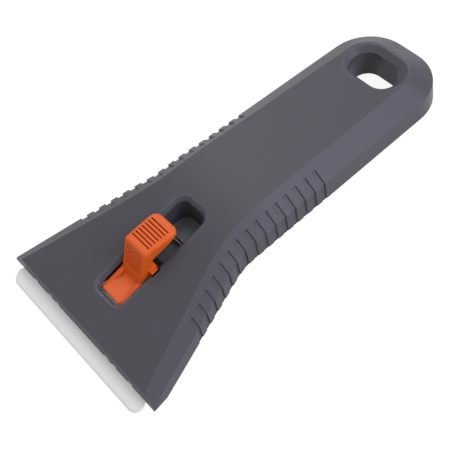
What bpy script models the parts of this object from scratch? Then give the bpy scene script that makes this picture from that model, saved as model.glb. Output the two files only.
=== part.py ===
"""A retractable ceramic scraper: two casing shells, a wide blade on a sliding carrier, and a thumb slider.

Units are metres and +Z is up. The casing is drawn in its own frame: the bend is the origin, where the flat
top of the handle (z = 0, towards +X) would meet the flat top of the nose. The nose frame lies along the nose:
its origin is on the lip, its +X runs forward to the blade, and its z = 0 is the nose's flat top. The whole
tool is then laid down on its heel and its handle end, with the origin under its middle.
"""
from math import atan2, cos, pi, radians, sin, sqrt, tan

import bmesh
import bpy
from mathutils import Matrix, Vector

# Clearances and overruns that serve every piece
GAP = 0.0003
PIN_CLEARANCE = 0.0001
OVERRUN = 0.0010
WELD = 0.000001

# Casing, seen from the side, with its heel and its toe placed from the lip
HANDLE_LENGTH = 0.0861
NOSE_LENGTH = 0.0544
NOSE_ANGLE = radians(15.64)
BEND_RADIUS = 0.100
WALL = 0.0018
CHAMFER_DROP_END = 0.0038
CHAMFER_DROP_HANDLE = 0.0051
CHAMFER_DROP_NOSE = 0.00355
CHAMFER_DROP_LIP = 0.00245
LIP_LEAN = 0.0003
TOE_LEAN = 0.00055
FOOT_DEPTH_END = 0.0110
FOOT_DEPTH_NECK = 0.0119
HEEL_BELOW_LIP = 0.0053342
TOE_BELOW_LIP = 0.0036342
NECK_X = -0.0085
HEEL_BEHIND = 0.0050858
FOOT_SOFTNESS = 0.00015
SIDE_DRAFT = 0.0003

# Casing, seen from above: half widths at the top edge and at the foot of the chamfer
SIDE_HALF_BEND = 0.02127
SIDE_HALF_END = 0.01855
SIDE_HALF_LIP = 0.0361
SIDE_FLARE_START = 0.0054
SIDE_FLARE_SOFTNESS = 0.0002
CHAMFER_WIDTH_LIP = 0.0039
TOP_HALF_BEND = 0.0146
TOP_HALF_END = 0.01185
TOP_HALF_LIP = SIDE_HALF_LIP - CHAMFER_WIDTH_LIP
TOP_FLARE_START = 0.0068
TOP_FLARE_SOFTNESS = 0.00115
END_CORNER = 0.0150
END_CHAMFER = 0.0067

# Stations of the casing's sections between the lip, the heel, the bend and the handle's corners
STATION_STEPS = (1, 4, 8, 4)
END_STEPS = 12
CORNER_STEPS = 8

# Grip grooves down both sides
GROOVE_COUNT = 15
GROOVE_PITCH = 0.00409
GROOVE_WIDTH = 0.0019
GROOVE_DEPTH = 0.0005
GROOVE_FIRST_X = -0.03033
GROOVE_START_SHARE = 0.36

# Hanging hole through the handle
HOLE_X = 0.0702
HOLE_HALF_X = 0.0058
HOLE_HALF_Y = 0.0091
HOLE_CORNER = 0.0053
HOLE_BEVEL = 0.0022
HOLE_BEVEL_DEPTH = 0.00145
HOLE_BEVEL_SHIFT = 0.0006
HOLE_WALL = 0.0016
HOLE_TUBE_DEPTH = 0.0112

# Slot in the nose's top, placed in the nose frame, with the well ahead of its rear end
SLOT_REAR = -0.0490
SLOT_FRONT = -0.0114
SLOT_HALF_REAR = 0.00585
SLOT_HALF_FRONT = 0.0054
SLOT_CORNER_REAR = 0.0032
SLOT_CORNER_FRONT = 0.0018
SLOT_BEVEL = 0.0012
WELL_WALL = 0.0012
WELL_LENGTH = 0.0095
WELL_FLOOR_Z = -0.01066
WELL_FLOOR_LENGTH = 0.0083
WELL_BAR_WIDTH = 0.0006
WELL_BAR_RISE = 0.0002

# Underside shell: its toe and its plug behind the lip, its blade rest and its rails in the nose frame
SHELL_LIP = 0.0012
SHELL_INSET = 0.0004
SHELL_CHAMFER = 0.0015
SHELL_TOE_BEHIND = 0.0016858
SHELL_TOE_SETBACK = 0.0011
PLUG_RISE = 0.0006
PLUG_FRONT_BEHIND = 0.0058858
BLADE_REST_REAR = -0.0036
BLADE_REST_FRONT = -0.0005
BLADE_REST_DEPTH = 0.0010
RAIL_TOP = 0.0060
RAIL_REAR = -0.0369
RAIL_FRONT = -0.0084
RAIL_WIDTH = 0.0010
RAIL_HALF_INNER = 0.0064
RAIL_HALF_OUTER = 0.0118

# Casing screws, their posts in the upper shell and their seats in the lower one
SCREW_NOSE_BEHIND = 0.0303858
SCREW_NOSE_Y = 0.0160
SCREW_NECK_X = 0.0120
SCREW_HANDLE_X = 0.0500
SCREW_HEAD_RADIUS = 0.0024
SCREW_HEAD_HEIGHT = 0.0012
SCREW_SHANK_RADIUS = 0.0012
SCREW_SHANK_LENGTH = 0.0055
SCREW_TIP = 0.0008
SCREW_DRIVE_WIDTH = 0.0005
SCREW_DRIVE_LENGTH = 0.0026
SCREW_DRIVE_DEPTH = 0.0006
POST_RADIUS = 0.0028
POST_ROOT = 0.0010
SEAT_PAD_RADIUS = 0.0034
SEAT_PAD_RISE = 0.0021
SEAT_RISE = 0.0007
SEAT_CLEARANCE = 0.0004

# Blade, placed in the nose frame like all that slides with it
BLADE_TOP = 0.0035
BLADE_THICKNESS = 0.0009
BLADE_EDGE = 0.0067
BLADE_REAR = -0.0144
BLADE_SIDE_INSET = 0.0034
BLADE_HALF_EDGE = SIDE_HALF_LIP - BLADE_SIDE_INSET
BLADE_TAPER = 0.0059
BLADE_HALF_REAR = BLADE_HALF_EDGE - BLADE_TAPER
BLADE_CORNER = 0.0030
BLADE_REAR_CORNER = 0.0010
BLADE_BEVEL = 0.0008
BLADE_EDGE_HEIGHT = 0.00035
LIP_RECESS_SHARES = (0.356, 0.468, 0.686)
LIP_RECESS_WIDTH = 0.0022
LIP_RECESS_RISE = 0.0006
LIP_RECESS_SINK = 0.0008

# Sliding carrier and what it holds
TRAVEL = 0.0071
CARRIER_REAR = -0.0299
CARRIER_FRONT = -0.0054
CARRIER_THICKNESS = 0.0010
CARRIER_HALF_REAR = 0.0205
CARRIER_HALF_FRONT = 0.0235
SPINE_FRONT = -0.0147
SPINE_HALF = 0.0086
SPINE_TOP = 0.0022
POCKET_REAR = -0.0285
POCKET_HALF = 0.00535
POCKET_FLOOR = 0.00505
PEG_RADIUS = 0.0016
PEG_AHEAD = -0.0081
PEG_HALF_SPACING = 0.0140
KEEPER_REAR = -0.0103
KEEPER_FRONT = -0.0058
KEEPER_HALF = 0.0185
KEEPER_THICKNESS = 0.0009
PLATE_CORNER = 0.0010

# Thumb slider, its pivot and its spring
PIVOT_AHEAD = -0.0159
PIVOT_DEPTH = 0.0033
PIVOT_RADIUS = 0.00035
PIVOT_HALF_LENGTH = 0.0080
STALK_REAR = -0.0281
STALK_HALF = 0.0052
STALK_SINK = 0.00015
CREST = -0.0277
SLIDER_BOTTOM = 0.0035
SLIDER_HALF = 0.00505
HUB_BOTTOM = 0.0042
NOSE_STEP_DEPTH = 0.0031
RAMP_TOP = 0.0077
RAMP_TOP_HALF = 0.0047
RAMP_BEVEL_DROP = 0.0010
RAMP_FOOT = -0.0200
RAMP_FOOT_DEPTH = 0.0031
RAMP_FOOT_HALF = 0.0045
FLANGE_DEPTH = 0.0021
TONGUE_REAR = -0.0190
TONGUE_REAR_DEPTH = 0.0032
TONGUE_REAR_HALF = 0.0031
TONGUE_FRONT = -0.0121
TONGUE_FRONT_DEPTH = 0.00145
TONGUE_FRONT_HALF = 0.0042
PAD_REAR = -0.0398
PAD_FRONT = -0.0279
PAD_HALF_REAR = 0.0055
PAD_HALF_FRONT = 0.0051
PAD_CORNER = 0.0026
PAD_EDGE = 0.0009
PAD_TOP_REAR = 0.0051
PAD_UNDER_REAR = 0.0033
PAD_UNDER_FRONT = 0.0023
PAD_GROOVES = 7
PAD_GROOVE_FIRST = -0.03716
PAD_GROOVE_PITCH = 0.0012
PAD_GROOVE_HALF = 0.0041
PAD_GROOVE_WIDTH = 0.00045
PAD_GROOVE_DEPTH = 0.0005
RAMP_GROOVES = 7
RAMP_GROOVE_FIRST = -0.0264
RAMP_GROOVE_LAST = -0.0230
RAMP_GROOVE_HALF = 0.0039
RAMP_GROOVE_WIDTH = 0.00028
RAMP_GROOVE_DEPTH = 0.00025
EAR_REAR = -0.02755
EAR_LENGTH = 0.0024
EAR_HALF = 0.00685
EAR_TOP = 0.0005
EAR_CLEARANCE = 0.0004
SPRING_THICKNESS = 0.00025
SPRING_HALF = 0.0020
SPRING_FOOT = -0.0152
SPRING_BEND = -0.0209
SPRING_TIP = -0.0252

# Facets on round pieces, and how nearly a face must lie across the axis to count as a flat end
ROUND_SIDES = 24
PIN_SIDES = 16
END_FACE_SHARE = 0.9
UPRIGHT = Vector((0, 0, 1))
CROSSWISE = Vector((0, 1, 0))


def clear_scene():
    for obj in list(bpy.data.objects):
        bpy.data.objects.remove(obj, do_unlink=True)


def new_collection(name):
    collection = bpy.data.collections.new(name)
    bpy.context.scene.collection.children.link(collection)
    return collection


def new_empty(name, parent=None):
    empty = bpy.data.objects.new(name, None)
    PARTS.objects.link(empty)
    empty.parent = parent
    return empty


def new_material(name, colour, roughness, metallic=0.0):
    material = bpy.data.materials.new(name)
    material.use_nodes = True
    shader = material.node_tree.nodes["Principled BSDF"]
    shader.inputs["Base Color"].default_value = (*colour, 1.0)
    shader.inputs["Roughness"].default_value = roughness
    shader.inputs["Metallic"].default_value = metallic
    return material


def place(bm, name, parent, material=None, origin=(0, 0, 0), round_about=None):
    """Turns a bmesh drawn in its parent's frame into an object whose own origin is at the given point.

    A piece that is round about an axis gets smooth sides between its flat ends.
    """
    bmesh.ops.remove_doubles(bm, verts=bm.verts, dist=WELD)
    bmesh.ops.recalc_face_normals(bm, faces=bm.faces)
    bmesh.ops.translate(bm, verts=bm.verts, vec=-Vector(origin))
    if round_about:
        for face in bm.faces:
            face.smooth = abs(face.normal.dot(round_about)) < END_FACE_SHARE
    mesh = bpy.data.meshes.new(name)
    bm.to_mesh(mesh)
    bm.free()
    obj = bpy.data.objects.new(name, mesh)
    obj.parent = parent
    obj.location = origin
    if material:
        mesh.materials.append(material)
        PARTS.objects.link(obj)
    else:
        obj.hide_render = True
        obj.display_type = "WIRE"
        CUTTERS.objects.link(obj)
    return obj


def combine(target, tool, operation):
    modifier = target.modifiers.new(f"{operation.lower()} {tool.name}", "BOOLEAN")
    modifier.operation = operation
    modifier.solver = "EXACT"
    modifier.object = tool


def cut(target, tool):
    combine(target, tool, "DIFFERENCE")


def join(target, tool):
    combine(target, tool, "UNION")


def add_loft(bm, rings, ladder=False):
    """Skins closed rings of equal count. A ladder cap bridges a ring's mirrored halves and follows a bend."""
    loops = [[bm.verts.new(point) for point in ring] for ring in rings]
    count = len(loops[0])
    for lower, upper in zip(loops, loops[1:]):
        for i in range(count):
            j = (i + 1) % count
            bm.faces.new((lower[i], lower[j], upper[j], upper[i]))
    for loop in (loops[0], loops[-1]):
        if not ladder:
            bm.faces.new(loop)
            continue
        for i in range(count // 2 - 1):
            bm.faces.new((loop[i], loop[i + 1], loop[count - 2 - i], loop[count - 1 - i]))


def mirrored(half):
    """The whole ring of a half outline drawn on the +Y side from front to back."""
    return half + [(x, -y, z) for x, y, z in reversed(half)]


def add_box(bm, low, high, turn=None):
    size = [b - a for a, b in zip(low, high)]
    middle = [(a + b) / 2 for a, b in zip(low, high)]
    matrix = Matrix.Translation(middle) @ Matrix.Diagonal((*size, 1))
    if turn:
        matrix = turn @ matrix
    bmesh.ops.create_cube(bm, size=1, matrix=matrix)


def add_cylinder(bm, centre, radius, bottom, top):
    middle = Vector((centre[0], centre[1], (bottom + top) / 2))
    bmesh.ops.create_cone(bm, cap_ends=True, segments=ROUND_SIDES, radius1=radius, radius2=radius,
                          depth=top - bottom, matrix=Matrix.Translation(middle))


def add_cross_pin(bm, ahead, height, radius, half_length):
    matrix = Matrix.Translation((ahead, 0, height)) @ Matrix.Rotation(pi / 2, 4, "X")
    bmesh.ops.create_cone(bm, cap_ends=True, segments=PIN_SIDES, radius1=radius, radius2=radius,
                          depth=2 * half_length, matrix=matrix)


def add_slab(bm, outline, half_width):
    """A profile of (x, z) points, given its width across Y."""
    add_loft(bm, [[(x, side * half_width, z) for x, z in outline] for side in (-1, 1)])


def rounded_half(low, high, half_low, half_high, corner_low, corner_high):
    """The +Y half of a plan outline with rounded corners, from its low x to its high x."""
    points = []
    for step in range(CORNER_STEPS + 1):
        angle = pi / 2 * step / CORNER_STEPS
        points.append((low + corner_low * (1 - cos(angle)), half_low - corner_low * (1 - sin(angle))))
    for step in range(CORNER_STEPS + 1):
        angle = pi / 2 * step / CORNER_STEPS
        points.append((high - corner_high * (1 - sin(angle)), half_high - corner_high * (1 - cos(angle))))
    return points


def at_height(outline, height):
    return mirrored([(x, y, height(x)) for x, y in outline])


def between(value, low, high, at_low, at_high):
    return at_low + (at_high - at_low) * (value - low) / (high - low)


def midway(a, b):
    return tuple((p + q) / 2 for p, q in zip(a, b))


def soft_max(a, b, rounding):
    return (a + b) / 2 + sqrt(((a - b) / 2) ** 2 + rounding ** 2)


def bend_reach():
    """How far the bend's arc runs along the handle from the point where the two tops would meet."""
    return BEND_RADIUS * tan(NOSE_ANGLE / 2)


def nose_to_casing(ahead, height):
    """A point of the nose frame, as the casing's x and z."""
    from_bend = NOSE_LENGTH + ahead
    return (-from_bend * cos(NOSE_ANGLE) - height * sin(NOSE_ANGLE),
            -from_bend * sin(NOSE_ANGLE) + height * cos(NOSE_ANGLE))


def behind_lip(distance):
    """The casing's x at a distance behind the lip."""
    return nose_to_casing(0, 0)[0] + distance


def below_lip(distance):
    """The casing's z at a distance below the lip."""
    return nose_to_casing(0, 0)[1] - distance


def slot_rear_x():
    return nose_to_casing(SLOT_REAR, 0)[0]


def top_z(x):
    """The casing's top: flat handle, arc, flat nose."""
    reach = bend_reach()
    if x >= reach:
        return 0.0
    if x <= -reach * cos(NOSE_ANGLE):
        return x * tan(NOSE_ANGLE)
    return sqrt(BEND_RADIUS ** 2 - (reach - x) ** 2) - BEND_RADIUS


def half_width(x, at_bend, at_end, at_lip, flare_start, softness):
    """Half the casing's width: the handle's slow taper, and the nose's flare past a soft corner."""
    handle = between(x, 0, HANDLE_LENGTH, at_bend, at_end)
    at_start = between(-flare_start, 0, HANDLE_LENGTH, at_bend, at_end)
    flare = between(x, -flare_start, behind_lip(0), at_start, at_lip)
    return soft_max(handle, flare, softness)


def chamfer_drop(x):
    reach = bend_reach()
    if x >= reach:
        return between(x, reach, HANDLE_LENGTH, CHAMFER_DROP_HANDLE, CHAMFER_DROP_END)
    if x >= -reach:
        return between(x, -reach, reach, CHAMFER_DROP_NOSE, CHAMFER_DROP_HANDLE)
    return between(x, behind_lip(0), -reach, CHAMFER_DROP_LIP, CHAMFER_DROP_NOSE)


def foot_z(x):
    """The side walls' lower edge: level under the handle, sloping to the heel, then rising to the toe."""
    heel_x = behind_lip(HEEL_BEHIND)
    heel_z = below_lip(HEEL_BELOW_LIP)
    if x < heel_x:
        return between(x, behind_lip(-TOE_LEAN), heel_x, below_lip(TOE_BELOW_LIP), heel_z)
    handle = between(x, NECK_X, HANDLE_LENGTH, FOOT_DEPTH_NECK, FOOT_DEPTH_END)
    nose = between(x, heel_x, NECK_X, -heel_z, FOOT_DEPTH_NECK)
    return -soft_max(handle, nose, FOOT_SOFTNESS)


def section(x, inset):
    """The casing's section at x, moved in by inset: (y, z) of top edge, chamfer foot and wall foot."""
    top = half_width(x, TOP_HALF_BEND, TOP_HALF_END, TOP_HALF_LIP,
                     TOP_FLARE_START, TOP_FLARE_SOFTNESS)
    side = half_width(x, SIDE_HALF_BEND, SIDE_HALF_END, SIDE_HALF_LIP,
                      SIDE_FLARE_START, SIDE_FLARE_SOFTNESS)
    drop = chamfer_drop(x)
    slope = atan2(drop, side - top)
    return ((top - inset * tan(slope / 2), top_z(x) - inset),
            (side - inset, top_z(x) - drop - inset * tan((pi / 2 - slope) / 2)),
            (side + SIDE_DRAFT - inset, foot_z(x)))


def stations(front_x, corner_x):
    reach = bend_reach()
    marks = [x for x in (behind_lip(HEEL_BEHIND), -reach * cos(NOSE_ANGLE), reach) if x > front_x]
    steps = STATION_STEPS[-len(marks) - 1:]
    marks = [front_x, *marks, corner_x]
    places = [between(i, 0, count, low, high)
              for low, high, count in zip(marks, marks[1:], steps) for i in range(count)]
    return places + [corner_x]


def casing_ring(inset, line, front_x, end_x, corner, lift=0.0):
    """One line of the section, followed from the front round the handle's end and back."""
    corner_x = end_x - corner
    half = []
    for x in stations(front_x, corner_x):
        y, z = section(x, inset)[line]
        half.append((x, y, z + lift))
    widest = half[-1][1]
    for step in range(1, END_STEPS + 1):
        angle = pi / 2 * step / END_STEPS
        x = corner_x + corner * sin(angle)
        half.append((x, widest - corner * (1 - cos(angle)), section(x, inset)[line][1] + lift))
    return mirrored(half)


def top_ring(inset, front_x):
    setback = END_CHAMFER + inset * tan(atan2(CHAMFER_DROP_END, END_CHAMFER) / 2)
    return casing_ring(inset, 0, front_x, HANDLE_LENGTH - setback, END_CORNER - setback)


def side_ring(inset, front_x):
    return casing_ring(inset, 1, front_x, HANDLE_LENGTH - inset, END_CORNER - inset)


def foot_ring(inset, front_x, lift=0.0):
    outset = SIDE_DRAFT - inset
    return casing_ring(inset, 2, front_x, HANDLE_LENGTH + outset, END_CORNER + outset, lift)


def hole_outline(grow, shift=0.0):
    return rounded_half(HOLE_X - HOLE_HALF_X - grow + shift, HOLE_X + HOLE_HALF_X + grow + shift,
                        HOLE_HALF_Y + grow, HOLE_HALF_Y + grow, HOLE_CORNER + grow, HOLE_CORNER + grow)


def slot_outline(grow):
    front_x = nose_to_casing(SLOT_FRONT, -SLOT_BEVEL)[0]
    return rounded_half(front_x - grow, slot_rear_x() + grow, SLOT_HALF_FRONT + grow, SLOT_HALF_REAR + grow,
                        SLOT_CORNER_FRONT + grow, SLOT_CORNER_REAR + grow)


def screw_places():
    """Each casing screw's name, x and y."""
    return (("screw_nose_left", behind_lip(SCREW_NOSE_BEHIND), SCREW_NOSE_Y),
            ("screw_nose_right", behind_lip(SCREW_NOSE_BEHIND), -SCREW_NOSE_Y),
            ("screw_neck", SCREW_NECK_X, 0),
            ("screw_handle", SCREW_HANDLE_X, 0))


def casing_block():
    """The casing's whole upper form, solid."""
    bm = bmesh.new()
    add_loft(bm, [top_ring(0, behind_lip(0)), side_ring(0, behind_lip(-LIP_LEAN)),
                  foot_ring(0, behind_lip(-TOE_LEAN))], ladder=True)
    return bm


def casing_cavity():
    front_x = behind_lip(WALL)
    bm = bmesh.new()
    add_loft(bm, [top_ring(WALL, front_x), side_ring(WALL, front_x), foot_ring(WALL, front_x),
                  foot_ring(WALL, front_x, -OVERRUN)], ladder=True)
    return bm


def grip_grooves():
    """Cutters for the finger grooves, which follow the chamfer's lower part and the side wall."""
    bm = bmesh.new()
    for k in range(GROOVE_COUNT):
        front_x = GROOVE_FIRST_X + k * GROOVE_PITCH
        for side in (-1, 1):
            rings = []
            for x in (front_x, front_x + GROOVE_WIDTH):
                points = groove_edge(section(x, GROOVE_DEPTH)) + groove_edge(section(x, -OVERRUN))[::-1]
                rings.append([(x, side * y, z) for y, z in points])
            add_loft(bm, rings)
    return bm


def groove_edge(line):
    """The part of a section line that a finger groove follows, from part-way down the chamfer."""
    start = tuple(a + (b - a) * GROOVE_START_SHARE for a, b in zip(line[0], line[1]))
    return [start, line[1], (line[2][0], line[2][1] - OVERRUN)]


def hanging_hole():
    """Cutter for the hanging hole, straight with a wide bevel at the top."""
    flare = HOLE_BEVEL * (1 + OVERRUN / HOLE_BEVEL_DEPTH)
    shift = HOLE_BEVEL_SHIFT * (1 + OVERRUN / HOLE_BEVEL_DEPTH)
    bottom = foot_z(HOLE_X) - SHELL_LIP - 2 * OVERRUN
    rings = [at_height(hole_outline(0), lambda x: bottom),
             at_height(hole_outline(0), lambda x: -HOLE_BEVEL_DEPTH),
             at_height(hole_outline(flare, shift), lambda x: OVERRUN)]
    bm = bmesh.new()
    add_loft(bm, rings, ladder=True)
    return bm


def slider_slot():
    """Cutter for the slider's slot, upright with a bevelled rim."""
    flare = SLOT_BEVEL + OVERRUN
    rings = [at_height(slot_outline(0), lambda x: below_lip(HEEL_BELOW_LIP)),
             at_height(slot_outline(0), lambda x: top_z(x) - SLOT_BEVEL),
             at_height(slot_outline(flare), lambda x: top_z(x) + OVERRUN)]
    bm = bmesh.new()
    add_loft(bm, rings, ladder=True)
    return bm


def well_walls():
    """The skirt that walls off the slot's open end from the casing's inside."""
    rear_x = slot_rear_x()
    half = SLOT_HALF_REAR + WELL_WALL
    outline = rounded_half(rear_x - WELL_LENGTH, rear_x + WELL_WALL, half, half,
                           WELL_WALL, SLOT_CORNER_REAR + WELL_WALL)
    rings = [at_height(outline, lambda x: foot_z(x) + PLUG_RISE + GAP),
             at_height(outline, lambda x: top_z(x) - WALL / 2)]
    bm = bmesh.new()
    add_loft(bm, rings, ladder=True)
    return bm


def post_bottom(x):
    return foot_z(x) + SEAT_PAD_RISE + GAP


def screw_posts():
    bm = bmesh.new()
    for name, x, y in screw_places():
        add_cylinder(bm, (x, y), POST_RADIUS, post_bottom(x), top_z(x) - POST_ROOT)
    return bm


def pilot_bores():
    bm = bmesh.new()
    for name, x, y in screw_places():
        top = foot_z(x) + SEAT_RISE + SCREW_SHANK_LENGTH + GAP
        add_cylinder(bm, (x, y), SCREW_SHANK_RADIUS + GAP, post_bottom(x) - OVERRUN, top)
    return bm


def make_upper_shell(tool, nose):
    grey = new_material("shell grey", (0.082, 0.080, 0.090), 0.55)
    shell = place(casing_block(), "upper_shell", tool, grey)
    cut(shell, place(casing_cavity(), "upper_cavity", tool))

    tube = bmesh.new()
    add_loft(tube, [at_height(hole_outline(HOLE_WALL), lambda x: -HOLE_TUBE_DEPTH),
                    at_height(hole_outline(HOLE_WALL), lambda x: -WALL / 2)], ladder=True)
    join(shell, place(tube, "hole_tube", tool))
    join(shell, place(well_walls(), "well_walls", tool))
    join(shell, place(screw_posts(), "screw_posts", tool))

    cut(shell, place(slider_slot(), "slot_cutter", tool))
    cut(shell, place(hanging_hole(), "hole_cutter", tool))
    cut(shell, place(pilot_bores(), "pilot_cutters", tool))
    cut(shell, place(grip_grooves(), "groove_cutters", tool))

    passage = bmesh.new()
    add_box(passage, (CARRIER_FRONT, -BLADE_HALF_EDGE - GAP, -BLADE_TOP - BLADE_THICKNESS - OVERRUN),
            (3 * OVERRUN, BLADE_HALF_EDGE + GAP, -BLADE_TOP + GAP))
    cut(shell, place(passage, "blade_passage", nose))

    notches = bmesh.new()
    rear = EAR_REAR - EAR_CLEARANCE
    for shift in (0, -TRAVEL):
        add_box(notches, (rear + shift, -EAR_HALF - EAR_CLEARANCE, -WALL - OVERRUN),
                (rear + EAR_LENGTH + 2 * EAR_CLEARANCE + shift, EAR_HALF + EAR_CLEARANCE, OVERRUN))
    cut(shell, place(notches, "ear_notches", nose))

    recesses = bmesh.new()
    rear = LIP_RECESS_SINK - OVERRUN
    roof = -BLADE_TOP + GAP + LIP_RECESS_RISE
    for share in LIP_RECESS_SHARES:
        for side in (-1, 1):
            middle = side * share * SIDE_HALF_LIP
            add_box(recesses, (rear, middle - LIP_RECESS_WIDTH / 2, -BLADE_TOP - OVERRUN),
                    (3 * OVERRUN, middle + LIP_RECESS_WIDTH / 2, roof))
    cut(shell, place(recesses, "lip_recesses", nose))


def guide_rails():
    """Rails on the underside shell that carry the carrier, level in the nose frame."""
    rear_x, rear_z = nose_to_casing(RAIL_REAR, -RAIL_TOP)
    front_x, front_z = nose_to_casing(RAIL_FRONT, -RAIL_TOP)
    outline = [(rear_x, rear_z), (front_x, front_z), (front_x, foot_z(front_x)), (rear_x, foot_z(rear_x))]
    bm = bmesh.new()
    for middle in (RAIL_HALF_INNER, RAIL_HALF_OUTER, -RAIL_HALF_INNER, -RAIL_HALF_OUTER):
        sides = (middle - RAIL_WIDTH / 2, middle + RAIL_WIDTH / 2)
        add_loft(bm, [[(x, y, z) for x, z in outline] for y in sides])
    return bm


def well_floor():
    """The raised floor of the well, with a low bar in front of it."""
    rear_x = slot_rear_x()
    half = SLOT_HALF_REAR - GAP
    outline = rounded_half(rear_x - WELL_FLOOR_LENGTH, rear_x - GAP, half, half, GAP, SLOT_CORNER_REAR)
    bm = bmesh.new()
    add_loft(bm, [at_height(outline, foot_z), at_height(outline, lambda x: WELL_FLOOR_Z)], ladder=True)
    mouth_x = rear_x - WELL_LENGTH
    bar_z = WELL_FLOOR_Z + WELL_BAR_RISE
    add_box(bm, (mouth_x, -half, foot_z(mouth_x)), (mouth_x + WELL_BAR_WIDTH, half, bar_z))
    return bm


def make_lower_shell(tool, nose):
    flange = bmesh.new()
    toe_x = behind_lip(SHELL_TOE_BEHIND)
    bottom_ring = foot_ring(SHELL_CHAMFER, toe_x + SHELL_TOE_SETBACK, -GAP - SHELL_LIP)
    add_loft(flange, [foot_ring(SHELL_INSET, toe_x, -GAP), bottom_ring], ladder=True)
    grey = new_material("underside grey", (0.070, 0.069, 0.077), 0.6)
    shell = place(flange, "lower_shell", tool, grey)

    plug = bmesh.new()
    plug_x = behind_lip(PLUG_FRONT_BEHIND)
    add_loft(plug, [foot_ring(WALL + GAP, plug_x, PLUG_RISE),
                    foot_ring(WALL + GAP, plug_x, -GAP - SHELL_LIP / 2)], ladder=True)
    join(shell, place(plug, "shell_plug", tool))
    join(shell, place(guide_rails(), "guide_rails", tool))
    join(shell, place(well_floor(), "well_floor", tool))

    rest = bmesh.new()
    top = -BLADE_TOP - BLADE_THICKNESS - GAP
    add_box(rest, (BLADE_REST_REAR, -BLADE_HALF_EDGE, top - BLADE_REST_DEPTH),
            (BLADE_REST_FRONT, BLADE_HALF_EDGE, top))
    join(shell, place(rest, "blade_rest", nose))

    pads, seats, bores = bmesh.new(), bmesh.new(), bmesh.new()
    for name, x, y in screw_places():
        foot = foot_z(x)
        add_cylinder(pads, (x, y), SEAT_PAD_RADIUS, foot, foot + SEAT_PAD_RISE)
        add_cylinder(seats, (x, y), SCREW_HEAD_RADIUS + SEAT_CLEARANCE, foot - SHELL_LIP - 2 * OVERRUN,
                     foot + SEAT_RISE)
        add_cylinder(bores, (x, y), SCREW_SHANK_RADIUS + SEAT_CLEARANCE, foot,
                     foot + SEAT_PAD_RISE + OVERRUN)
    join(shell, place(pads, "seat_pads", tool))
    cut(shell, place(seats, "seat_cutters", tool))
    cut(shell, place(bores, "seat_bores", tool))

    opening = bmesh.new()
    outline = hole_outline(HOLE_WALL + GAP)
    bottom = foot_z(HOLE_X) - SHELL_LIP - 2 * OVERRUN
    add_loft(opening, [at_height(outline, lambda x: bottom), at_height(outline, lambda x: 0)], ladder=True)
    cut(shell, place(opening, "hole_opening", tool))


def cross_ring(x, y, height):
    """The outline of a screw's cross recess."""
    long, short = SCREW_DRIVE_LENGTH / 2, SCREW_DRIVE_WIDTH / 2
    corners = []
    for turn in range(4):
        for a, b in ((long, -short), (long, short), (short, short)):
            across, along = (a, b) if turn % 2 == 0 else (-b, a)
            sign = 1 if turn < 2 else -1
            corners.append((x + sign * across, y + sign * along, height))
    return corners


def make_screw(name, x, y, tool, material):
    """A pan-head casing screw, driven upwards from the underside."""
    seat = foot_z(x) + SEAT_RISE - GAP
    tip = foot_z(x) + SEAT_RISE + SCREW_SHANK_LENGTH
    bottom = seat - SCREW_HEAD_HEIGHT
    bm = bmesh.new()
    add_cylinder(bm, (x, y), SCREW_HEAD_RADIUS, bottom, seat)
    screw = place(bm, name, tool, material, round_about=UPRIGHT)
    shank = bmesh.new()
    rings = []
    for height, radius in ((bottom + SCREW_HEAD_HEIGHT / 2, SCREW_SHANK_RADIUS),
                           (tip - SCREW_TIP, SCREW_SHANK_RADIUS), (tip, SCREW_SHANK_RADIUS / 3)):
        angles = [2 * pi * i / PIN_SIDES for i in range(PIN_SIDES)]
        rings.append([(x + radius * cos(a), y + radius * sin(a), height) for a in angles])
    add_loft(shank, rings)
    join(screw, place(shank, name + "_shank", tool, round_about=UPRIGHT))
    drive = bmesh.new()
    add_loft(drive, [cross_ring(x, y, height) for height in (bottom - OVERRUN, bottom + SCREW_DRIVE_DEPTH)])
    cut(screw, place(drive, name + "_drive", tool))


def peg_cutters(name, radius, parent):
    bottom = -BLADE_TOP - BLADE_THICKNESS - OVERRUN
    bm = bmesh.new()
    for side in (-1, 1):
        add_cylinder(bm, (PEG_AHEAD, side * PEG_HALF_SPACING), radius, bottom, 0)
    return place(bm, name, parent, round_about=UPRIGHT)


def make_blade(carriage):
    """The blade: its long edge is bevelled from above."""
    def outline(edge, corner):
        return rounded_half(BLADE_REAR, edge, BLADE_HALF_REAR, BLADE_HALF_EDGE, BLADE_REAR_CORNER, corner)
    bottom = -BLADE_TOP - BLADE_THICKNESS
    full = outline(BLADE_EDGE, BLADE_CORNER)
    rings = [at_height(full, lambda x: bottom), at_height(full, lambda x: bottom + BLADE_EDGE_HEIGHT),
             at_height(outline(BLADE_EDGE - BLADE_BEVEL, BLADE_CORNER), lambda x: -BLADE_TOP)]
    bm = bmesh.new()
    add_loft(bm, rings, ladder=True)
    blade = place(bm, "ceramic_blade", carriage, new_material("zirconia", (0.80, 0.79, 0.79), 0.25))
    cut(blade, peg_cutters("blade_holes", PEG_RADIUS + GAP, carriage))


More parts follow.
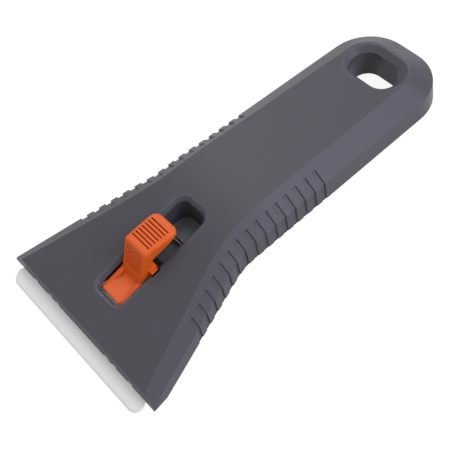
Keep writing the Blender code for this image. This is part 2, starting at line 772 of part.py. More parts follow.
def make_carrier(carriage):
    """The sled under the blade, with a raised spine that holds the slider in a pocket."""
    bottom = -BLADE_TOP - BLADE_THICKNESS - GAP - CARRIER_THICKNESS
    bm = bmesh.new()
    add_box(bm, (CARRIER_REAR, -SPINE_HALF, bottom), (SPINE_FRONT, SPINE_HALF, -SPINE_TOP))
    black = new_material("carrier black", (0.012, 0.013, 0.014), 0.5)
    carrier = place(bm, "blade_carrier", carriage, black)

    plate = bmesh.new()
    outline = rounded_half(SPINE_FRONT - OVERRUN, CARRIER_FRONT, CARRIER_HALF_REAR, CARRIER_HALF_FRONT,
                           PLATE_CORNER, PLATE_CORNER)
    add_loft(plate, [at_height(outline, lambda x: bottom),
                     at_height(outline, lambda x: bottom + CARRIER_THICKNESS)], ladder=True)
    join(carrier, place(plate, "carrier_plate", carriage))

    pegs = bmesh.new()
    for side in (-1, 1):
        add_cylinder(pegs, (PEG_AHEAD, side * PEG_HALF_SPACING), PEG_RADIUS, bottom + CARRIER_THICKNESS / 2,
                     -BLADE_TOP + GAP + KEEPER_THICKNESS)
    join(carrier, place(pegs, "carrier_pegs", carriage, round_about=UPRIGHT))

    pocket = bmesh.new()
    add_box(pocket, (POCKET_REAR, -POCKET_HALF, -POCKET_FLOOR), (SPINE_FRONT + OVERRUN, POCKET_HALF, 0))
    cut(carrier, place(pocket, "slider_pocket", carriage))
    bore = bmesh.new()
    add_cross_pin(bore, PIVOT_AHEAD, -PIVOT_DEPTH, PIVOT_RADIUS + PIN_CLEARANCE, SPINE_HALF + OVERRUN)
    cut(carrier, place(bore, "carrier_bore", carriage, round_about=CROSSWISE))


def make_keeper(carriage):
    """The spring-steel plate that holds the blade down on the carrier's pegs."""
    outline = rounded_half(KEEPER_REAR, KEEPER_FRONT, KEEPER_HALF, KEEPER_HALF, PLATE_CORNER, PLATE_CORNER)
    bottom = -BLADE_TOP + GAP
    bm = bmesh.new()
    add_loft(bm, [at_height(outline, lambda x: bottom),
                  at_height(outline, lambda x: bottom + KEEPER_THICKNESS)], ladder=True)
    steel = new_material("keeper steel", (0.55, 0.56, 0.57), 0.35, 1.0)
    keeper = place(bm, "blade_keeper", carriage, steel)
    cut(keeper, peg_cutters("keeper_holes", PEG_RADIUS + GAP, carriage))


def ramp_line(ahead):
    return between(ahead, CREST, RAMP_FOOT, RAMP_TOP, -RAMP_FOOT_DEPTH)


def pad_line(ahead):
    return between(ahead, PAD_REAR, CREST, PAD_TOP_REAR, RAMP_TOP)


def slider_ring(ahead, bottom, side, ledge, top):
    """The slider's section: from its bottom up the side, in along bevel or flange, and over the top."""
    half = [(SLIDER_HALF, bottom), side, ledge, top]
    return [(ahead, y, z) for y, z in half] + [(ahead, -y, z) for y, z in reversed(half)]


def slider_body():
    """Stalk, ramp, tongue and the flange beside the tongue, as sections that follow each other forward."""
    rings = []
    for ahead, top in ((STALK_REAR, pad_line(STALK_REAR) - STALK_SINK), (CREST, RAMP_TOP)):
        shoulder = (STALK_HALF, top - RAMP_BEVEL_DROP)
        crest = (RAMP_TOP_HALF, top)
        rings.append(slider_ring(ahead, -SLIDER_BOTTOM, shoulder, midway(shoulder, crest), crest))
    flange = (SLIDER_HALF, -FLANGE_DEPTH)
    crest = (RAMP_FOOT_HALF, RAMP_BEVEL_DROP - FLANGE_DEPTH)
    bevel_end = between(crest[1], RAMP_TOP, -RAMP_FOOT_DEPTH, CREST, RAMP_FOOT)
    rings.append(slider_ring(bevel_end, -SLIDER_BOTTOM, flange, midway(flange, crest), crest))
    ramp_level = between(-FLANGE_DEPTH, RAMP_TOP, -RAMP_FOOT_DEPTH, CREST, RAMP_FOOT)
    level = between(-FLANGE_DEPTH, -TONGUE_REAR_DEPTH, -TONGUE_FRONT_DEPTH, TONGUE_REAR, TONGUE_FRONT)
    level_half = between(level, TONGUE_REAR, TONGUE_FRONT, TONGUE_REAR_HALF, TONGUE_FRONT_HALF)
    for ahead, bottom, half, depth in ((ramp_level, SLIDER_BOTTOM, RAMP_FOOT_HALF, FLANGE_DEPTH),
                                       (RAMP_FOOT, HUB_BOTTOM, TONGUE_REAR_HALF, RAMP_FOOT_DEPTH),
                                       (TONGUE_REAR, HUB_BOTTOM, TONGUE_REAR_HALF, TONGUE_REAR_DEPTH),
                                       (level, HUB_BOTTOM, level_half, FLANGE_DEPTH),
                                       (TONGUE_FRONT, HUB_BOTTOM, TONGUE_FRONT_HALF, TONGUE_FRONT_DEPTH)):
        rings.append(slider_ring(ahead, -bottom, flange, (half, -FLANGE_DEPTH), (half, -depth)))
    bm = bmesh.new()
    add_loft(bm, rings)
    return bm


def slider_pad():
    """The thumb pad: rounded rear corners and a bevelled top edge, overhanging behind the stalk."""
    def outline(shrink):
        return rounded_half(PAD_REAR + shrink, PAD_FRONT, PAD_HALF_REAR - shrink, PAD_HALF_FRONT - shrink,
                            PAD_CORNER - shrink, PAD_EDGE / 2)

    def under(x):
        return between(x, PAD_REAR, PAD_FRONT, PAD_UNDER_REAR, PAD_UNDER_FRONT)
    rings = [at_height(outline(PAD_EDGE / 2), under),
             at_height(outline(0), lambda x: under(x) + PAD_EDGE / 2),
             at_height(outline(0), lambda x: pad_line(x) - PAD_EDGE),
             at_height(outline(PAD_EDGE / 2), lambda x: pad_line(x) - PAD_EDGE / 4),
             at_height(outline(PAD_EDGE), pad_line)]
    bm = bmesh.new()
    add_loft(bm, rings, ladder=True)
    return bm


def slider_ears():
    """Ears that reach over the slot's bevelled rim, just clear of it, above a notch at either end."""
    inner = SLIDER_HALF - OVERRUN
    rim_gap = GAP * sqrt(2)
    slope_top = -(SLOT_HALF_REAR + SLOT_BEVEL - EAR_HALF) + rim_gap
    slope_foot = slope_top - (EAR_HALF - SLOT_HALF_FRONT + GAP)
    foot = SLOT_HALF_FRONT - GAP
    outline = [(inner, slope_foot), (foot, slope_foot), (EAR_HALF, slope_top), (EAR_HALF, EAR_TOP),
               (inner, EAR_TOP)]
    bm = bmesh.new()
    for side in (-1, 1):
        add_loft(bm, [[(ahead, side * y, z) for y, z in outline]
                      for ahead in (EAR_REAR, EAR_REAR + EAR_LENGTH)])
    return bm


def slider_grooves():
    """Cutters for the fine thumb grooves on the pad and on the ramp."""
    bm = bmesh.new()
    pad_slope = atan2(RAMP_TOP - PAD_TOP_REAR, CREST - PAD_REAR)
    for k in range(PAD_GROOVES):
        ahead = PAD_GROOVE_FIRST + k * PAD_GROOVE_PITCH
        turn = Matrix.Translation((ahead, 0, pad_line(ahead))) @ Matrix.Rotation(-pad_slope, 4, "Y")
        add_box(bm, (-PAD_GROOVE_WIDTH / 2, -PAD_GROOVE_HALF, -PAD_GROOVE_DEPTH),
                (PAD_GROOVE_WIDTH / 2, PAD_GROOVE_HALF, OVERRUN), turn)
    ramp_slope = atan2(-RAMP_FOOT_DEPTH - RAMP_TOP, RAMP_FOOT - CREST)
    for k in range(RAMP_GROOVES):
        ahead = between(k, 0, RAMP_GROOVES - 1, RAMP_GROOVE_FIRST, RAMP_GROOVE_LAST)
        turn = Matrix.Translation((ahead, 0, ramp_line(ahead))) @ Matrix.Rotation(-ramp_slope, 4, "Y")
        add_box(bm, (-RAMP_GROOVE_WIDTH / 2, -RAMP_GROOVE_HALF, -RAMP_GROOVE_DEPTH),
                (RAMP_GROOVE_WIDTH / 2, RAMP_GROOVE_HALF, OVERRUN), turn)
    return bm


def make_slider(carriage):
    pivot = (PIVOT_AHEAD, 0, -PIVOT_DEPTH)
    material = new_material("slider orange", (0.84, 0.14, 0.025), 0.4)
    slider = place(slider_body(), "thumb_slider", carriage, material, pivot)
    join(slider, place(slider_pad(), "slider_pad", carriage))
    join(slider, place(slider_ears(), "slider_ears", carriage))
    step = bmesh.new()
    add_box(step, (SPINE_FRONT, -SLIDER_HALF - OVERRUN, -HUB_BOTTOM - OVERRUN),
            (TONGUE_FRONT + OVERRUN, SLIDER_HALF + OVERRUN, -NOSE_STEP_DEPTH))
    cut(slider, place(step, "tongue_relief", carriage))
    cut(slider, place(slider_grooves(), "slider_groove_cutters", carriage))
    bore = bmesh.new()
    add_cross_pin(bore, PIVOT_AHEAD, -PIVOT_DEPTH, PIVOT_RADIUS + PIN_CLEARANCE, SLIDER_HALF + OVERRUN)
    cut(slider, place(bore, "slider_bore", carriage, round_about=CROSSWISE))


def make_pivot_pin(carriage):
    bm = bmesh.new()
    add_cross_pin(bm, PIVOT_AHEAD, -PIVOT_DEPTH, PIVOT_RADIUS, PIVOT_HALF_LENGTH)
    steel = new_material("pin steel", (0.55, 0.56, 0.57), 0.3, 1.0)
    place(bm, "slider_pivot_pin", carriage, steel, round_about=CROSSWISE)


def make_spring(carriage):
    """A leaf that lies on the pocket's floor and rises to the slider's underside."""
    floor = -POCKET_FLOOR + GAP
    tip = -SLIDER_BOTTOM - GAP
    lower = [(SPRING_FOOT, floor), (SPRING_BEND, floor), (SPRING_TIP, tip - SPRING_THICKNESS)]
    outline = lower + [(ahead, height + SPRING_THICKNESS) for ahead, height in reversed(lower)]
    bm = bmesh.new()
    add_slab(bm, outline, SPRING_HALF)
    place(bm, "slider_spring", carriage, new_material("spring steel", (0.50, 0.50, 0.51), 0.35, 1.0))


def lay_down(tool):
    """Turns the tool until its heel and its handle end are level, then stands it on z = 0."""
    heel_x = behind_lip(HEEL_BEHIND)
    heel = (heel_x, foot_z(heel_x) - GAP - SHELL_LIP)
    end_x = HANDLE_LENGTH + SIDE_DRAFT - SHELL_CHAMFER
    end = (end_x, foot_z(end_x) - GAP - SHELL_LIP)
    tool.rotation_euler.y = atan2(end[1] - heel[1], end[0] - heel[0])
    bpy.context.view_layer.update()
    graph = bpy.context.evaluated_depsgraph_get()
    points = []
    for obj in PARTS.objects:
        if obj.type == "MESH":
            solid = obj.evaluated_get(graph)
            points += [solid.matrix_world @ vertex.co for vertex in solid.data.vertices]
    low_x = min(point.x for point in points)
    high_x = max(point.x for point in points)
    tool.location = (-(low_x + high_x) / 2, 0, -min(point.z for point in points))


def build():
    tool = new_empty("scraper")
    nose = new_empty("nose", tool)
    lip_x, lip_z = nose_to_casing(0, 0)
    nose.location = (lip_x, 0, lip_z)
    nose.rotation_euler = (0, NOSE_ANGLE, pi)
    carriage = new_empty("carriage", nose)
    make_upper_shell(tool, nose)
    make_lower_shell(tool, nose)
    screw_steel = new_material("screw steel", (0.42, 0.42, 0.44), 0.35, 1.0)
    for name, x, y in screw_places():
        make_screw(name, x, y, tool, screw_steel)
    make_carrier(carriage)
    make_blade(carriage)
    make_keeper(carriage)
    make_slider(carriage)
    make_pivot_pin(carriage)
    make_spring(carriage)
    lay_down(tool)


clear_scene()
PARTS = new_collection("ceramic_scraper")
CUTTERS = new_collection("cutters")
build()
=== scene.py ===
"""The look of a hand scraper with a wide ceramic blade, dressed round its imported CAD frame.

Lengths are metres in the row frame. The file follows the tool as it is put together: the studio first, then
the casing's top and underside, the screws, the carrier and its blade, and last the thumb slider.
"""
from math import atan2, cos, radians, sin

import bmesh
import bpy
from mathutils import Matrix, Vector


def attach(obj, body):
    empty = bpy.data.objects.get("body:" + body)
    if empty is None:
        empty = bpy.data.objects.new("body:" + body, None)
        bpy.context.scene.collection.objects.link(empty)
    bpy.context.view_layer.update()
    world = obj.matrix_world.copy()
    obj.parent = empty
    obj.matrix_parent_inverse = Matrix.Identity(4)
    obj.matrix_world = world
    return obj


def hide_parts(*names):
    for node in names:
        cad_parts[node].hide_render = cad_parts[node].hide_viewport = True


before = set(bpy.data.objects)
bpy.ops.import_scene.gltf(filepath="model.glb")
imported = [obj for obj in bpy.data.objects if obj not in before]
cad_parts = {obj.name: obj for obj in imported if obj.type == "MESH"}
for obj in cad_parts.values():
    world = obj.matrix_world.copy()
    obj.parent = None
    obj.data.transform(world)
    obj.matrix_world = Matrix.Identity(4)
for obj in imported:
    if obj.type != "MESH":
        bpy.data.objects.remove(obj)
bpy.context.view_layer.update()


# The studio: a white table top in a soft white room, seen by a long lens from the blade's left corner.
# A broad cool lamp stands on the near side of the handle, and a smaller, weaker one behind it.
# The table shows itself near white to the camera and still takes the tool's shadow.
camera = bpy.data.objects.new("camera", bpy.data.cameras.new("camera"))
bpy.context.scene.collection.objects.link(camera)
camera.data.lens = 78.045
camera.data.sensor_width = 36
camera.data.clip_start = 0.01
camera.matrix_world = Matrix((
    (0.74712988, 0.61791793, -0.24489661, -0.08705298),
    (-0.63835911, 0.56441345, -0.5233881, -0.16180827),
    (-0.18518795, 0.54737087, 0.8161437, 0.25007439),
    (0, 0, 0, 1)))
bpy.context.scene.camera = camera
bpy.context.scene.view_settings.view_transform = "Standard"


def background_rays(nodes, links):
    """One where a ray comes from the camera, from a mirror-like surface or through glass."""
    path = nodes.new("ShaderNodeLightPath")
    direct = nodes.new("ShaderNodeMath")
    direct.operation = "MAXIMUM"
    links.new(path.outputs["Is Camera Ray"], direct.inputs[0])
    links.new(path.outputs["Is Transmission Ray"], direct.inputs[1])
    every = nodes.new("ShaderNodeMath")
    every.operation = "MAXIMUM"
    links.new(direct.outputs[0], every.inputs[0])
    links.new(path.outputs["Is Glossy Ray"], every.inputs[1])
    return every.outputs[0]


def show_by_ray(nodes, links, lighting, background, output):
    """Gives one shader to the rays that light the tool and another to those that show the background."""
    choice = nodes.new("ShaderNodeMixShader")
    links.new(background_rays(nodes, links), choice.inputs[0])
    links.new(lighting.outputs[0], choice.inputs[1])
    links.new(background.outputs[0], choice.inputs[2])
    links.new(choice.outputs[0], nodes.new(output).inputs[0])


room = bpy.data.worlds.new("room")
bpy.context.scene.world = room
room.use_nodes = True
nodes, links = room.node_tree.nodes, room.node_tree.links
nodes.clear()
white = nodes.new("ShaderNodeBackground")
white.inputs["Color"].default_value = (1, 1, 1, 1)
white.inputs["Strength"].default_value = 1.0
soft = nodes.new("ShaderNodeBackground")
soft.inputs["Color"].default_value = (1, 1, 1, 1)
soft.inputs["Strength"].default_value = 0.7
show_by_ray(nodes, links, soft, white, "ShaderNodeOutputWorld")

for name, place, size, watts, colour in (
        ("cool side lamp", (0.534, -0.683, 0.677), 0.6, 7.6, (0.73, 0.785, 1.0)),
        ("back lamp", (0.367, 0.587, 0.855), 0.4, 2.1, (1.0, 0.94, 0.96))):
    lamp = bpy.data.objects.new(name, bpy.data.lights.new(name, "AREA"))
    bpy.context.scene.collection.objects.link(lamp)
    lamp.data.size = size
    lamp.data.energy = watts
    lamp.data.color = colour
    lamp.location = place
    lamp.rotation_euler = (-Vector(place)).to_track_quat("-Z", "Y").to_euler()

bpy.ops.object.select_all(action="DESELECT")
bpy.ops.mesh.primitive_plane_add(size=6)
table = bpy.context.object
table.name = "table"
paper = bpy.data.materials.new("white paper")
paper.use_nodes = True
nodes, links = paper.node_tree.nodes, paper.node_tree.links
nodes.clear()
matt = nodes.new("ShaderNodeBsdfDiffuse")
matt.inputs["Color"].default_value = (0.8, 0.8, 0.8, 1)
pale = nodes.new("ShaderNodeBsdfDiffuse")
pale.inputs["Color"].default_value = (0.2, 0.2, 0.2, 1)
glow = nodes.new("ShaderNodeEmission")
glow.inputs["Strength"].default_value = 0.9
lit = nodes.new("ShaderNodeAddShader")
links.new(pale.outputs[0], lit.inputs[0])
links.new(glow.outputs[0], lit.inputs[1])
show_by_ray(nodes, links, matt, lit, "ShaderNodeOutputMaterial")
table.data.materials.append(paper)


# The casing's top is one moulding of charcoal plastic, about 1.8 mm thick, with a fine spark-eroded grain.
# Its slot, its hanging hole, the finger grooves down its sides and the relief under its lip are moulded in,
# and its corners are rounded where it left the tool steel, most of all round the hole and the slot.
nose_frame = Matrix((
    (-0.9790469, 0, -0.2036345, -0.0665845),
    (0, -1, 0, 0),
    (-0.2036345, 0, 0.9790469, 0.0071664),
    (0, 0, 0, 1)))
to_nose = nose_frame.inverted()
casing_frame = Matrix((
    (0.9976956, 0, 0.0678486, -0.0133244),
    (0, 1, 0, 0),
    (-0.0678486, 0, 0.9976956, 0.0182441),
    (0, 0, 0, 1)))
to_casing = casing_frame.inverted()


def moulding_of(node, name):
    """A copy of a CAD solid with its triangles merged back into whole faces."""
    same_place, same_plane = 0.000001, radians(0.05)
    bpy.ops.object.select_all(action="DESELECT")
    piece = bpy.data.objects.new(name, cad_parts[node].data.copy())
    piece.data.materials.clear()
    bpy.context.scene.collection.objects.link(piece)
    bpy.context.view_layer.objects.active = piece
    piece.select_set(True)
    bpy.ops.object.mode_set(mode="EDIT")
    bpy.ops.mesh.select_all(action="SELECT")
    bpy.ops.mesh.remove_doubles(threshold=same_place)
    bpy.ops.mesh.beautify_fill(angle_limit=same_plane)
    bpy.ops.mesh.dissolve_limited(angle_limit=same_plane)
    bpy.ops.object.mode_set(mode="OBJECT")
    return piece


def finish_with(piece, kind, **settings):
    """Adds a modifier to a piece and applies it."""
    bpy.ops.object.select_all(action="DESELECT")
    bpy.context.view_layer.objects.active = piece
    piece.select_set(True)
    modifier = piece.modifiers.new(kind.lower(), kind)
    for setting, value in settings.items():
        setattr(modifier, setting, value)
    bpy.ops.object.modifier_apply(modifier=modifier.name)


def fill_anew(piece, on_flat):
    """Takes out a flat face's seams, which rounding may fold, and fills it again round its holes."""
    bpy.ops.object.mode_set(mode="EDIT")
    bpy.ops.mesh.select_all(action="DESELECT")
    bpy.ops.mesh.select_mode(type="FACE")
    mesh = bmesh.from_edit_mesh(piece.data)
    for face in mesh.faces:
        face.select_set(all(on_flat(vertex.co) for vertex in face.verts))
    bpy.ops.mesh.delete(type="FACE")
    bpy.ops.mesh.select_mode(type="EDGE")
    bpy.ops.mesh.select_all(action="DESELECT")
    bpy.ops.mesh.select_non_manifold()
    bpy.ops.mesh.fill(use_beauty=True)
    mesh = bmesh.from_edit_mesh(piece.data)
    for face in mesh.faces:
        if all(on_flat(vertex.co) for vertex in face.verts):
            face.material_index = 0
    bpy.ops.mesh.select_all(action="SELECT")
    bpy.ops.mesh.normals_make_consistent(inside=False)
    bpy.ops.mesh.select_mode(type="VERT")
    bpy.ops.object.mode_set(mode="OBJECT")


def round_edges(piece, radius, share_at, on_flat=None):
    """Rounds the sharper edges by a share of a radius and keeps which faces are edge in an attribute.

    While the edges are rounded, their new faces stand in a second, empty material slot.
    """
    sharper_than, smooth_below = radians(18), radians(40)
    solid = bmesh.new()
    solid.from_mesh(piece.data)
    weight = solid.edges.layers.float.new("bevel_weight_edge")
    for edge in solid.edges:
        if edge.calc_face_angle(0) > sharper_than:
            edge[weight] = share_at((edge.verts[0].co + edge.verts[1].co) / 2)
    solid.to_mesh(piece.data)
    solid.free()
    for slot in ("flat", "edge"):
        piece.data.materials.append(None)
    finish_with(piece, "BEVEL", limit_method="WEIGHT", width=radius, segments=3, material=1,
                use_clamp_overlap=False, loop_slide=False, miter_outer="MITER_ARC")
    if on_flat:
        fill_anew(piece, on_flat)
    edge_mask = piece.data.attributes.new("edge", "FLOAT", "FACE")
    for face, mask in zip(piece.data.polygons, edge_mask.data):
        mask.value = face.material_index
        face.material_index = 0
    piece.data.materials.clear()
    bpy.ops.object.shade_smooth_by_angle(angle=smooth_below)
    finish_with(piece, "WEIGHTED_NORMAL", keep_sharp=True)


def grain_group():
    """Fine moulded grain with a faint mottle, and smoother edges that are lightened with a painted highlight.
    """
    broad_scale, edge_patch_scale = 90, 700
    highlight_lightens, wear_smooths = 2.0, 0.5
    group = bpy.data.node_groups.new("moulded grain", "ShaderNodeTree")
    for label, kind, start in (
            ("Colour", "NodeSocketColor", (0.1, 0.1, 0.1, 1)), ("Mottle", "NodeSocketFloat", 0.08),
            ("Grain Scale", "NodeSocketFloat", 4000.0), ("Roughness", "NodeSocketFloat", 0.5),
            ("Edge Highlight And Wear", "NodeSocketFloat", 0.2)):
        group.interface.new_socket(label, in_out="INPUT", socket_type=kind).default_value = start
    for label, kind in (("Colour", "NodeSocketColor"), ("Roughness", "NodeSocketFloat"),
                        ("Height", "NodeSocketFloat")):
        group.interface.new_socket(label, in_out="OUTPUT", socket_type=kind)
    nodes, links = group.nodes, group.links
    given, put_out = nodes.new("NodeGroupInput"), nodes.new("NodeGroupOutput")

    def mathed(operation, first, second, third=None):
        """A sum on sockets or plain numbers."""
        node = nodes.new("ShaderNodeMath")
        node.operation = operation
        for socket, value in zip(node.inputs, (first, second, third)):
            if isinstance(value, bpy.types.NodeSocket):
                links.new(value, socket)
            elif value is not None:
                socket.default_value = value
        return node.outputs[0]

    def noise(scale, detail):
        """Noise that is fixed to the piece and centred on a half."""
        node = nodes.new("ShaderNodeTexNoise")
        node.inputs["Detail"].default_value = detail
        links.new(place.outputs["Object"], node.inputs["Vector"])
        if isinstance(scale, bpy.types.NodeSocket):
            links.new(scale, node.inputs["Scale"])
        else:
            node.inputs["Scale"].default_value = scale
        return node.outputs["Fac"]

    place = nodes.new("ShaderNodeTexCoord")
    edge = nodes.new("ShaderNodeAttribute")
    edge.attribute_name = "edge"
    fine = noise(given.outputs["Grain Scale"], 3)
    broad = noise(broad_scale, 4)
    centred = mathed("SUBTRACT", mathed("ADD", fine, broad), 1.0)
    share = mathed("MULTIPLY_ADD", centred, given.outputs["Mottle"], 1.0)
    # The rounded edges are lightened in patches with a painted highlight, and made smoother.
    patchy = mathed("MULTIPLY", edge.outputs["Fac"], noise(edge_patch_scale, 2))
    highlight_and_rub = mathed("MULTIPLY", patchy, given.outputs["Edge Highlight And Wear"])
    mottle_and_highlight = mathed("MULTIPLY_ADD", highlight_and_rub, highlight_lightens, share)
    tinted = nodes.new("ShaderNodeVectorMath")
    tinted.operation = "SCALE"
    links.new(given.outputs["Colour"], tinted.inputs[0])
    links.new(mottle_and_highlight, tinted.inputs["Scale"])
    links.new(tinted.outputs[0], put_out.inputs["Colour"])
    dull = mathed("MULTIPLY", given.outputs["Roughness"], share)
    smoothed = mathed("SUBTRACT", dull, mathed("MULTIPLY", highlight_and_rub, wear_smooths))
    links.new(smoothed, put_out.inputs["Roughness"])
    links.new(fine, put_out.inputs["Height"])
    return group


moulded_grain = grain_group()


def moulded_plastic(name, colour, roughness, grain_depth, grain_scale, mottle, edge_highlight_and_wear, specular):
    """A material with the moulded grain, whose edge share lightens the rounded edges with a painted highlight
    and makes them smoother.
    """
    material = bpy.data.materials.new(name)
    material.use_nodes = True
    nodes, links = material.node_tree.nodes, material.node_tree.links
    shader = nodes["Principled BSDF"]
    shader.inputs["Specular IOR Level"].default_value = specular
    grain = nodes.new("ShaderNodeGroup")
    grain.node_tree = moulded_grain
    for label, value in (("Colour", (*colour, 1)), ("Mottle", mottle), ("Grain Scale", grain_scale),
                         ("Roughness", roughness), ("Edge Highlight And Wear", edge_highlight_and_wear)):
        grain.inputs[label].default_value = value
    bump = nodes.new("ShaderNodeBump")
    bump.inputs["Distance"].default_value = grain_depth
    links.new(grain.outputs["Height"], bump.inputs["Height"])
    links.new(grain.outputs["Colour"], shader.inputs["Base Color"])
    links.new(grain.outputs["Roughness"], shader.inputs["Roughness"])
    links.new(bump.outputs[0], shader.inputs["Normal"])
    return material


def rim_softness(place):
    """How much of the largest rounding an edge of the casing gets: most on the slot's and the hole's rims."""
    plain, slot_rim, hole_rim = 0.2, 0.8, 0.75
    slot_rear, slot_front, slot_half, slot_depth = -0.0525, -0.0095, 0.0078, 0.0006
    notches_rear, notches_front = -0.0356, -0.0240
    from_lip = to_nose @ place
    if from_lip.z > -slot_depth and slot_rear < from_lip.x < slot_front and abs(from_lip.y) < slot_half:
        return plain if notches_rear < from_lip.x < notches_front else slot_rim
    hole_front, hole_rear, hole_half, hole_depth, rim_reach = 0.062, 0.0713, 0.0038, 0.0002, 0.0079
    from_bend = to_casing @ place
    from_hole = Vector((max(from_bend.x - hole_rear, 0), max(abs(from_bend.y) - hole_half, 0)))
    if from_bend.z > -hole_depth and from_bend.x > hole_front and from_hole.length < rim_reach:
        return hole_rim
    return plain


def handle_top(place):
    """Whether a place lies on the flat top of the handle."""
    slack = 0.000002
    return abs((to_casing @ place).z) < slack


casing_top = moulding_of("upper_shell", "casing_top")
round_edges(casing_top, radius=0.0006, share_at=rim_softness, on_flat=handle_top)
# Its rounded edges are lightened with a painted highlight.
casing_top.data.materials.append(moulded_plastic(
    "charcoal plastic", colour=(0.064, 0.062, 0.073), roughness=0.40, grain_depth=0.00001,
    grain_scale=3000, mottle=0.10, edge_highlight_and_wear=0.3, specular=0.2))
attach(casing_top, "housing")
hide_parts("upper_shell")


# The underside is a second, flatter moulding of the same plastic, a shade lighter and duller.
# It closes the casing from below, carries the blade's rest and the rails, and is held by four screws.
# The floor of the slot's well has a shallow step all round, with round corners at the handle's end.
def use_up(piece, operation, tool):
    """Joins or cuts a piece with a tool solid, which is then gone."""
    finish_with(piece, "BOOLEAN", operation=operation, solver="EXACT", object=tool)
    bpy.data.objects.remove(tool, do_unlink=True)


def underside_share(place):
    """The narrow faces under the lip are rounded less than the rest."""
    narrow_rear, narrow_top, narrow_share = -0.0015, -0.0045, 0.3
    from_lip = to_nose @ place
    return narrow_share if from_lip.x > narrow_rear and from_lip.z < narrow_top else 1.0


def handle_floor(place):
    """Whether a place lies on the inner floor of the handle, above the face that the handle rests on."""
    resting_place, upwards = (0.015722, 0, 0.003205), (0.058354, 0, 0.998296)
    floor_thickness, slack = 0.0012, 0.000003
    above = (place - Vector(resting_place)).dot(Vector(upwards))
    return abs(above - floor_thickness) < slack


casing_tilt = 0.0679007
step_place, step_size, step_corner = (-0.01005, 0, -0.01026), (0.0073, 0.0093, 0.0015), 0.0023
casing_floor = moulding_of("lower_shell", "casing_floor")
bpy.ops.object.select_all(action="DESELECT")
bpy.ops.mesh.primitive_cube_add(size=1, location=casing_frame @ Vector(step_place),
                                rotation=(0, casing_tilt, 0), scale=step_size)
step = bpy.context.object
bpy.ops.object.transform_apply(location=False, rotation=False, scale=True)
bpy.ops.object.mode_set(mode="EDIT")
step_mesh = bmesh.from_edit_mesh(step.data)
for edge in step_mesh.edges:
    upright = edge.verts[0].co.z * edge.verts[1].co.z < 0
    edge.select_set(upright and all(vertex.co.x > 0 for vertex in edge.verts))
bmesh.update_edit_mesh(step.data)
bpy.ops.mesh.bevel(offset=step_corner, segments=8)
bpy.ops.object.mode_set(mode="OBJECT")
use_up(casing_floor, "DIFFERENCE", step)
round_edges(casing_floor, radius=0.00012, share_at=underside_share, on_flat=handle_floor)
# Its rounded edges are lightened a little with a painted highlight.
casing_floor.data.materials.append(moulded_plastic(
    "underside plastic", colour=(0.070, 0.069, 0.077), roughness=0.58, grain_depth=0.00001,
    grain_scale=3000, mottle=0.10, edge_highlight_and_wear=0.2, specular=0.5))
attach(casing_floor, "housing")
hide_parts("lower_shell")


# Four small steel screws with cross recesses hold the two mouldings together from below.
# They are zinc-plated, so they are bright with a fine turned grain.
def plain_steel(name, colour, roughness):
    """Bare or plated steel with a fine grain."""
    material = bpy.data.materials.new(name)
    material.use_nodes = True
    nodes, links = material.node_tree.nodes, material.node_tree.links
    shader = nodes["Principled BSDF"]
    shader.inputs["Metallic"].default_value = 1.0
    grain = nodes.new("ShaderNodeGroup")
    grain.node_tree = moulded_grain
    for label, value in (("Colour", (*colour, 1)), ("Mottle", 0.2), ("Grain Scale", 2500),
                         ("Roughness", roughness)):
        grain.inputs[label].default_value = value
    links.new(grain.outputs["Colour"], shader.inputs["Base Color"])
    links.new(grain.outputs["Roughness"], shader.inputs["Roughness"])
    return material


def clad(node, material):
    """Gives a CAD node, which keeps its own mesh, its material."""
    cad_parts[node].data.materials.clear()
    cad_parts[node].data.materials.append(material)


zinc = plain_steel("zinc plated steel", colour=(0.42, 0.42, 0.44), roughness=0.35)
for node in ("screw_nose_left", "screw_nose_right", "screw_neck", "screw_handle"):
    clad(node, zinc)


# The carrier slides inside the casing and holds the blade on two pegs: a moulding of black, fairly glossy
# plastic. Its keeper plate holds the blade down on the pegs, a cross pin lets the slider tilt, and a leaf
# spring under the slider lifts it again, all three of bare spring steel.
clad("blade_carrier", moulded_plastic(
    "black plastic", colour=(0.012, 0.013, 0.014), roughness=0.4, grain_depth=0.00001,
    grain_scale=3000, mottle=0.10, edge_highlight_and_wear=0.2, specular=0.5))
spring_steel = plain_steel("spring steel", colour=(0.5, 0.5, 0.52), roughness=0.3)
for node in ("blade_keeper", "slider_pivot_pin", "slider_spring"):
    clad(node, spring_steel)


# The blade is a flat plate of white zirconia, fired and then ground on its long edge, with round corners.
# Its two holes sit on the carrier's pegs under the keeper, so it slides with the carrier.
def ground_share(place):
    """The faint line halfway down each side stays sharp, and all other edges are rounded."""
    line_bottom, line_top, line_front = -0.0043, -0.0038, 0.0032
    from_lip = to_nose @ place
    return 0.0 if line_bottom < from_lip.z < line_top and from_lip.x < line_front else 1.0


blade = moulding_of("ceramic_blade", "white_blade")
round_edges(blade, radius=0.00010, share_at=ground_share)
blade.data.materials.append(moulded_plastic(
    "zirconia", colour=(0.76, 0.755, 0.75), roughness=0.25, grain_depth=0.000002,
    grain_scale=2000, mottle=0.02, edge_highlight_and_wear=0.0, specular=0.5))
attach(blade, "carriage")
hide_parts("ceramic_blade")


# The thumb slider is one soft-cornered orange moulding: a ribbed pad and ramp, a tongue in front and an ear
# on each side. The body is skinned over first, and the crisp thumb grooves are cut into it afterwards.
# Its side view is given by three places (ahead of the lip, above the nose's top) in the nose frame.
pad_rear, crest, ramp_foot = (-0.0398, 0.0051), (-0.0277, 0.0077), (-0.0200, -0.0031)
pad_line, ramp_line = (pad_rear, crest), (crest, ramp_foot)


def slope_of(line):
    """The angle at which a line of the side view rises towards the lip."""
    (from_ahead, from_height), (to_ahead, to_height) = line
    return atan2(to_height - from_height, to_ahead - from_ahead)


def height_on(line, ahead):
    """How high a line of the side view lies at a place ahead of the lip."""
    (from_ahead, from_height), (to_ahead, to_height) = line
    return from_height + (ahead - from_ahead) * (to_height - from_height) / (to_ahead - from_ahead)


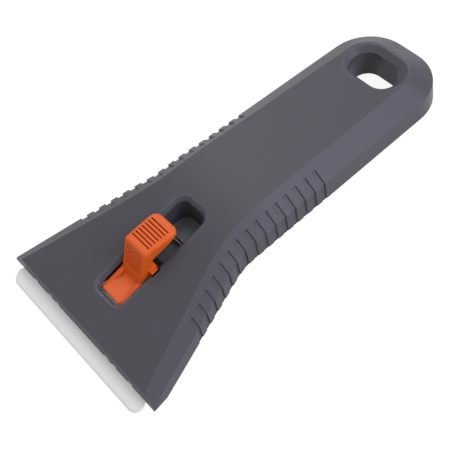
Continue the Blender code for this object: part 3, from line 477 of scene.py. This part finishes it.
def block_along(line, ahead, length, width, height, sunk=0.0):
    """A block whose middle lies on a line of the slider's side view, or sunk below it."""
    slope = slope_of(line)
    middle = Vector((ahead + sin(slope) * sunk, 0, height_on(line, ahead) - cos(slope) * sunk))
    along = nose_frame.to_3x3() @ Vector((cos(slope), 0, sin(slope)))
    bpy.ops.object.select_all(action="DESELECT")
    bpy.ops.mesh.primitive_cube_add(size=1, location=nose_frame @ middle,
                                    rotation=(0, atan2(along.z, -along.x), 0), scale=(length, width, height))
    return bpy.context.object


thumb = moulding_of("thumb_slider", "orange_slider")
plate_thickness = 0.0008
for line, ahead, length, width in (
        (pad_line, -0.03355, 0.0088, 0.0086), (ramp_line, -0.02470, 0.0064, 0.0082)):
    use_up(thumb, "UNION", block_along(line, ahead, length, width, plate_thickness, sunk=plate_thickness / 2))
finish_with(thumb, "REMESH", mode="VOXEL", voxel_size=0.00015)

# The upper half is softened more than the rest, and the crest's corners most.
upper_half_bottom = 0.0014
corner_half, corner_rear, corner_bottom = 0.0030, -0.0310, 0.0005
fade_across, fade_along, fade_up = 0.0010, 0.0015, 0.0015
upper_half = thumb.vertex_groups.new(name="upper half")
corners = thumb.vertex_groups.new(name="crest corners")
for vertex in thumb.data.vertices:
    from_lip = to_nose @ vertex.co
    if from_lip.z > upper_half_bottom:
        upper_half.add([vertex.index], 1.0, "REPLACE")
    reach = min((abs(from_lip.y) - corner_half) / fade_across, (from_lip.x - corner_rear) / fade_along,
                (from_lip.z - corner_bottom) / fade_up)
    if reach > 0:
        corners.add([vertex.index], min(reach, 1), "REPLACE")
finish_with(thumb, "SMOOTH", factor=0.5, iterations=6)
finish_with(thumb, "SMOOTH", factor=0.5, iterations=24, vertex_group="upper half")
finish_with(thumb, "SMOOTH", factor=0.5, iterations=120, vertex_group="crest corners")

groove_count = 7
first_pad_groove, pad_pitch, pad_groove = -0.03716, 0.0012, (0.00047, 0.0082, 0.0022)
first_ramp_groove, last_ramp_groove, ramp_groove = -0.0266, -0.0228, (0.00034, 0.0080, 0.0012)
ramp_pitch = (last_ramp_groove - first_ramp_groove) / (groove_count - 1)
grooves = []
for number in range(groove_count):
    grooves.append(block_along(pad_line, first_pad_groove + number * pad_pitch, *pad_groove))
    grooves.append(block_along(ramp_line, first_ramp_groove + number * ramp_pitch, *ramp_groove))
for groove in grooves:
    groove.select_set(True)
bpy.ops.object.join()
use_up(thumb, "DIFFERENCE", bpy.context.object)
bpy.ops.object.shade_smooth_by_angle(angle=radians(35))
thumb.vertex_groups.clear()
thumb.data.materials.clear()
thumb.data.materials.append(moulded_plastic(
    "orange plastic", colour=(0.66, 0.097, 0.006), roughness=0.42, grain_depth=0.000006,
    grain_scale=3000, mottle=0.05, edge_highlight_and_wear=0.0, specular=0.3))
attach(thumb, "slider")
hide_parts("thumb_slider")
